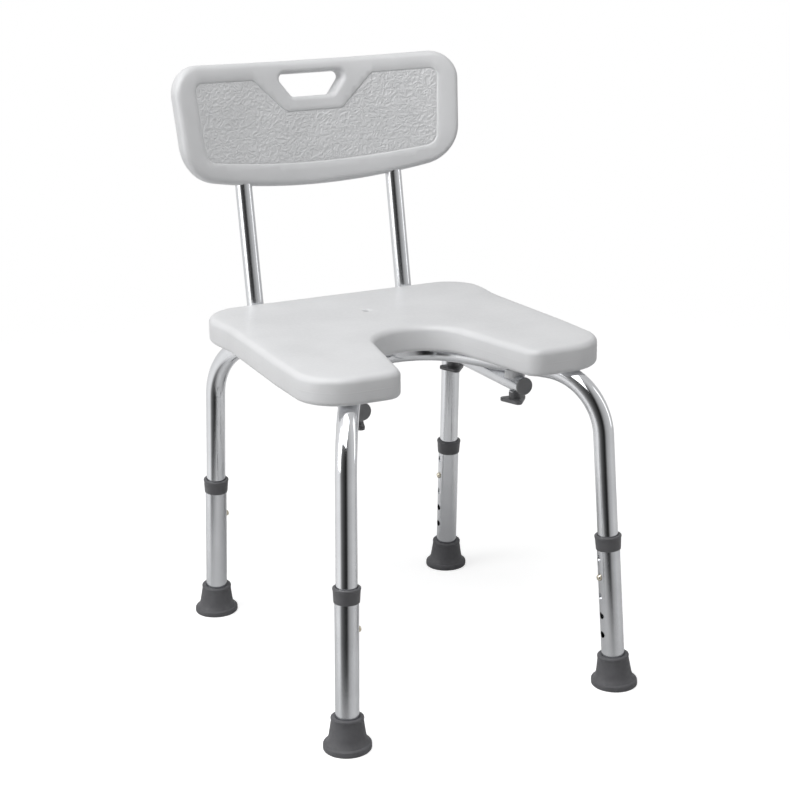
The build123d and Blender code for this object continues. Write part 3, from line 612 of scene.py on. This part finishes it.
bevel_lines = [inset(panel, BEVEL * part) for part in (0.0, 0.33, 0.67, 1.0)]
backrest = moulding("backrest_moulding", rounded(board_corners), [hand_hole], board_front, board_back,
                    [RIM_EDGE, HOLE_EDGE], on_board, lines=bevel_lines, detail=(bevel_lines[-1], 0.8 * MM))
backrest.data.materials.append(white_plastic)
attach(backrest, "frame")
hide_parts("backrest")

# ---- Uprights and their plugs -----------------------------------------------------------------
# Two bent tubes of 22 mm aluminium with a bright satin finish. Each runs forward under the seat, where
# a moulded plug closes its end, and up into the backrest, where two screws hold it.
# drawn tube: Lines are the fine marks that a drawing die leaves along a tube, and Cloud is a slow change
# of sheen
drawn = bpy.data.node_groups.new("drawn_tube", "ShaderNodeTree")
drawn_in, drawn_out = group_sockets(drawn, {"Line Width": 0.5 * MM, "Cloud Size": 30 * MM},
                                    ("Lines", "Cloud"))
drawn_place = drawn.nodes.new("ShaderNodeTexCoord")
along_tube = drawn.nodes.new("ShaderNodeMapping")
along_tube.inputs["Scale"].default_value = (1.0, 1.0, 0.02)
drawn.links.new(drawn_place.outputs["Object"], along_tube.inputs["Vector"])
for output, size, place in (("Lines", "Line Width", along_tube.outputs[0]),
                            ("Cloud", "Cloud Size", drawn_place.outputs["Object"])):
    scale = worked(drawn, "DIVIDE", 1.0, drawn_in.outputs[size])
    cloud(drawn, place, scale, 2.0, drawn_out.inputs[output])


def metal(name, dark, light, rough, line, depth, **values):
    """A drawn or machined metal: two close colours, a roughness range and fine lines."""
    material, shader = new_material(name, Metallic=1.0, **values)
    texture = material.node_tree.nodes.new("ShaderNodeGroup")
    texture.node_tree = drawn
    texture.inputs["Line Width"].default_value = line
    ramp(material, texture.outputs["Cloud"], shader.inputs["Base Color"], dark, light)
    ramp(material, texture.outputs["Lines"], shader.inputs["Roughness"], *rough)
    bump(material, shader, texture.outputs["Lines"], depth)
    return material


def give(material, *names):
    """Gives CAD pieces a material in place of their plain one."""
    for name in names:
        cad[name].data.materials.clear()
        cad[name].data.materials.append(material)


satin_tube = metal("satin_aluminium", (0.66, 0.67, 0.69), (0.72, 0.73, 0.75), (0.17, 0.22), 0.4 * MM,
                   0.0004 * MM)
plug_plastic = moulded("plug_plastic", (0.21, 0.21, 0.217), (0.24, 0.24, 0.247), (0.36, 0.5),
                       grain=0.5 * MM, flow=20 * MM, depth=0.03 * MM)
give(satin_tube, "rail_left", "rail_right")
give(plug_plastic, "rail_plug_left", "rail_plug_right")

# ---- Bows -------------------------------------------------------------------------------------
# Two bent tubes of 25 mm aluminium, polished bright. Each is a pair of upper legs and the support between
# them. The front one arches round the cut-out and the rear one crosses behind it.
polished_tube = metal("polished_aluminium", (0.72, 0.73, 0.75), (0.78, 0.79, 0.81), (0.10, 0.16),
                      0.7 * MM, 0.0005 * MM)
give(polished_tube, "front_bow", "rear_bow")

# ---- Fastenings under the seat and in the backrest --------------------------------------------
# White moulded saddles keep the round rails square to the round bows. Brass inserts in the seat take the
# studs, zinc-plated washers lie under the knobs, and pan-head screws go through the backrest.
zinc = metal("zinc_plate", (0.60, 0.61, 0.62), (0.70, 0.71, 0.72), (0.25, 0.40), 0.4 * MM, 0.004 * MM)
brass = metal("turned_brass", (0.72, 0.54, 0.24), (0.80, 0.62, 0.30), (0.22, 0.35), 0.3 * MM, 0.004 * MM)
give(white_plastic, *[f"saddle_{corner}" for corner in CORNERS])
give(zinc, "back_screws", *[f"washer_{corner}" for corner in CORNERS])
give(brass, "seat_inserts")

# ---- Lower legs -------------------------------------------------------------------------------
# Four straight tubes of 28.6 mm aluminium that slide over the upper legs. A tapered grey collar is
# pressed on each top end, and a flared rubber foot on each bottom end.
give(satin_tube, *[f"leg_tube_{corner}" for corner in CORNERS])
foot_spot = {mount["name"]: Vector(mount["pos_m"]) for mount in record["mounts"]}
leg_axis = {joint["name"]: Vector(joint["axis"]) for joint in record["behaviour"]["joints"]}
ROUND_STEPS = 96


def turned(name, profile, start, axis, upright_until=0.0, tilted_from=0.0):
    """A round piece from (radius, height) points, closed on itself. Up to one height it stands upright,
    and from another it leans with its axis."""
    mesh = bmesh.new()
    rings = []
    for radius, height in profile:
        share = ease((height - upright_until) / (tilted_from - upright_until)) if tilted_from else 1.0
        normal = Vector((0, 0, 1)).lerp(axis, share).normalized()
        middle = start + axis * height
        across = (Vector((1, 0, 0)) - normal * normal.x).normalized()
        other = normal.cross(across)
        if radius == 0:
            rings.append([mesh.verts.new(middle)])
            continue
        rings.append([mesh.verts.new(middle + (across * math.cos(t) + other * math.sin(t)) * radius)
                      for t in (2 * math.pi * k / ROUND_STEPS for k in range(ROUND_STEPS))])
    closed = len(rings[0]) > 1
    for low, high in zip(rings, rings[1:] + rings[:1] if closed else rings[1:]):
        for i in range(ROUND_STEPS):
            j = (i + 1) % ROUND_STEPS
            if len(low) == 1:
                mesh.faces.new((low[0], high[j], high[i]))
            elif len(high) == 1:
                mesh.faces.new((low[i], low[j], high[0]))
            else:
                mesh.faces.new((low[i], low[j], high[j], high[i]))
    bmesh.ops.recalc_face_normals(mesh, faces=mesh.faces)
    piece = finished(name, mesh)
    piece.data.set_sharp_from_angle(angle=math.radians(50))
    return piece


def in_mm(*points):
    """Millimetre points in metres."""
    return [(radius * MM, height * MM) for radius, height in points]


rubber = moulded("grey_rubber", (0.088, 0.088, 0.094), (0.105, 0.105, 0.112), (0.52, 0.66),
                 grain=0.6 * MM, flow=15 * MM, depth=0.05 * MM)
collar_plastic = moulded("collar_plastic", (0.09, 0.09, 0.096), (0.108, 0.108, 0.114), (0.38, 0.5),
                         grain=0.5 * MM, flow=15 * MM, depth=0.03 * MM)
COLLAR_FOOT = 180.5 * MM  # along the leg
collar_side = [(14.5, 0), (15.1, 0), (15.4, 0.3), (15.5, 0.8), (16.35, 15.2)]
collar_lip = [(16.7, 15.7), (16.8, 16.3), (16.8, 17.3), (16.6, 17.9), (16.1, 18.35), (15.5, 18.5),
              (13.6, 18.5), (13.2, 18.3), (13.05, 17.9)]
collar_bore = [(13.05, 16.6), (14.4, 16.5), (14.4, 0.3)]
COLLAR = in_mm(*collar_side, *collar_lip, *collar_bore)
TREADS = ((8.0, 12.4), (16.0, 20.0), (23.4, 27.4))  # the rings that the foot stands on
GROOVE, TREAD_EDGE = 0.9, 0.4
sole = [point for inner, outer in TREADS
        for point in ((inner - TREAD_EDGE, GROOVE), (inner, 0), (outer, 0), (outer + TREAD_EDGE, GROOVE))]
flange = [(28.3, 0.3), (28.85, 0.9), (29.0, 1.7), (29.0, 5.6), (28.8, 6.6), (28.2, 7.4), (27.3, 7.9)]
flare = [(26.3, 8.1), (25.9, 8.3), (25.7, 8.7), (25.2, 9.6), (24.3, 11.0), (23.4, 12.8), (22.6, 15.2),
         (22.0, 18.2), (21.5, 21.5), (19.4, 36.0)]
lip = [(19.5, 36.4), (19.8, 36.8), (19.9, 37.4), (19.9, 38.6), (19.7, 39.3), (19.2, 39.8), (18.5, 40.0),
       (15.4, 40.0)]
bore = [(14.8, 39.8), (14.5, 39.4), (14.35, 38.8), (14.35, 9.0), (0, 9.0)]
FOOT = in_mm((0, GROOVE), *sole[:-1], *flange, *flare, *lip, *bore)
# the foot stands flat up to one height, and follows the leg from another
SOLE_FLAT, LEANS_FROM = 9 * MM, 24 * MM
for corner in CORNERS:
    spot, axis = foot_spot[f"foot_{corner}"], leg_axis[f"leg_{corner}_height"]
    collar = turned(f"collar_ring_{corner}", COLLAR, spot + axis * COLLAR_FOOT, axis)
    foot = turned(f"rubber_foot_{corner}", FOOT, spot, axis, SOLE_FLAT, LEANS_FROM)
    for piece, node, material, slot in ((collar, "collar", collar_plastic, "grey_plastic"),
                                        (foot, "foot", rubber, "grey_rubber")):
        piece.data.materials.append(material)
        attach(piece, f"leg_{corner}")
        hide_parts(f"{node}_{corner}")

# ---- Height adjustment ------------------------------------------------------------------------
# In each upper leg a bent leaf spring of bright steel pushes a domed, nickel-plated button out through
# both tubes. Pressed in, it lets the lower leg slide to the next hole.
nickel = metal("nickel_plate", (0.66, 0.60, 0.48), (0.74, 0.69, 0.58), (0.14, 0.24), 0.3 * MM, 0.002 * MM)
spring_steel = metal("spring_steel", (0.50, 0.51, 0.53), (0.58, 0.59, 0.61), (0.20, 0.32), 0.4 * MM,
                     0.003 * MM)
give(nickel, *[f"snap_button_{corner}" for corner in CORNERS])
give(spring_steel, *[f"leaf_spring_{corner}" for corner in CORNERS])

# ---- Hand knobs -------------------------------------------------------------------------------
# Four three-cornered knobs of dark grey plastic, each moulded on a zinc-plated stud that goes up through
# rail, saddle and bow into the seat.
knob_plastic = moulded("knob_plastic", (0.12, 0.12, 0.125), (0.14, 0.14, 0.145), (0.36, 0.48),
                       grain=0.5 * MM, flow=15 * MM, depth=0.03 * MM)
give(knob_plastic, *[f"knob_{corner}" for corner in CORNERS])
give(zinc, *[f"knob_stud_{corner}" for corner in CORNERS])
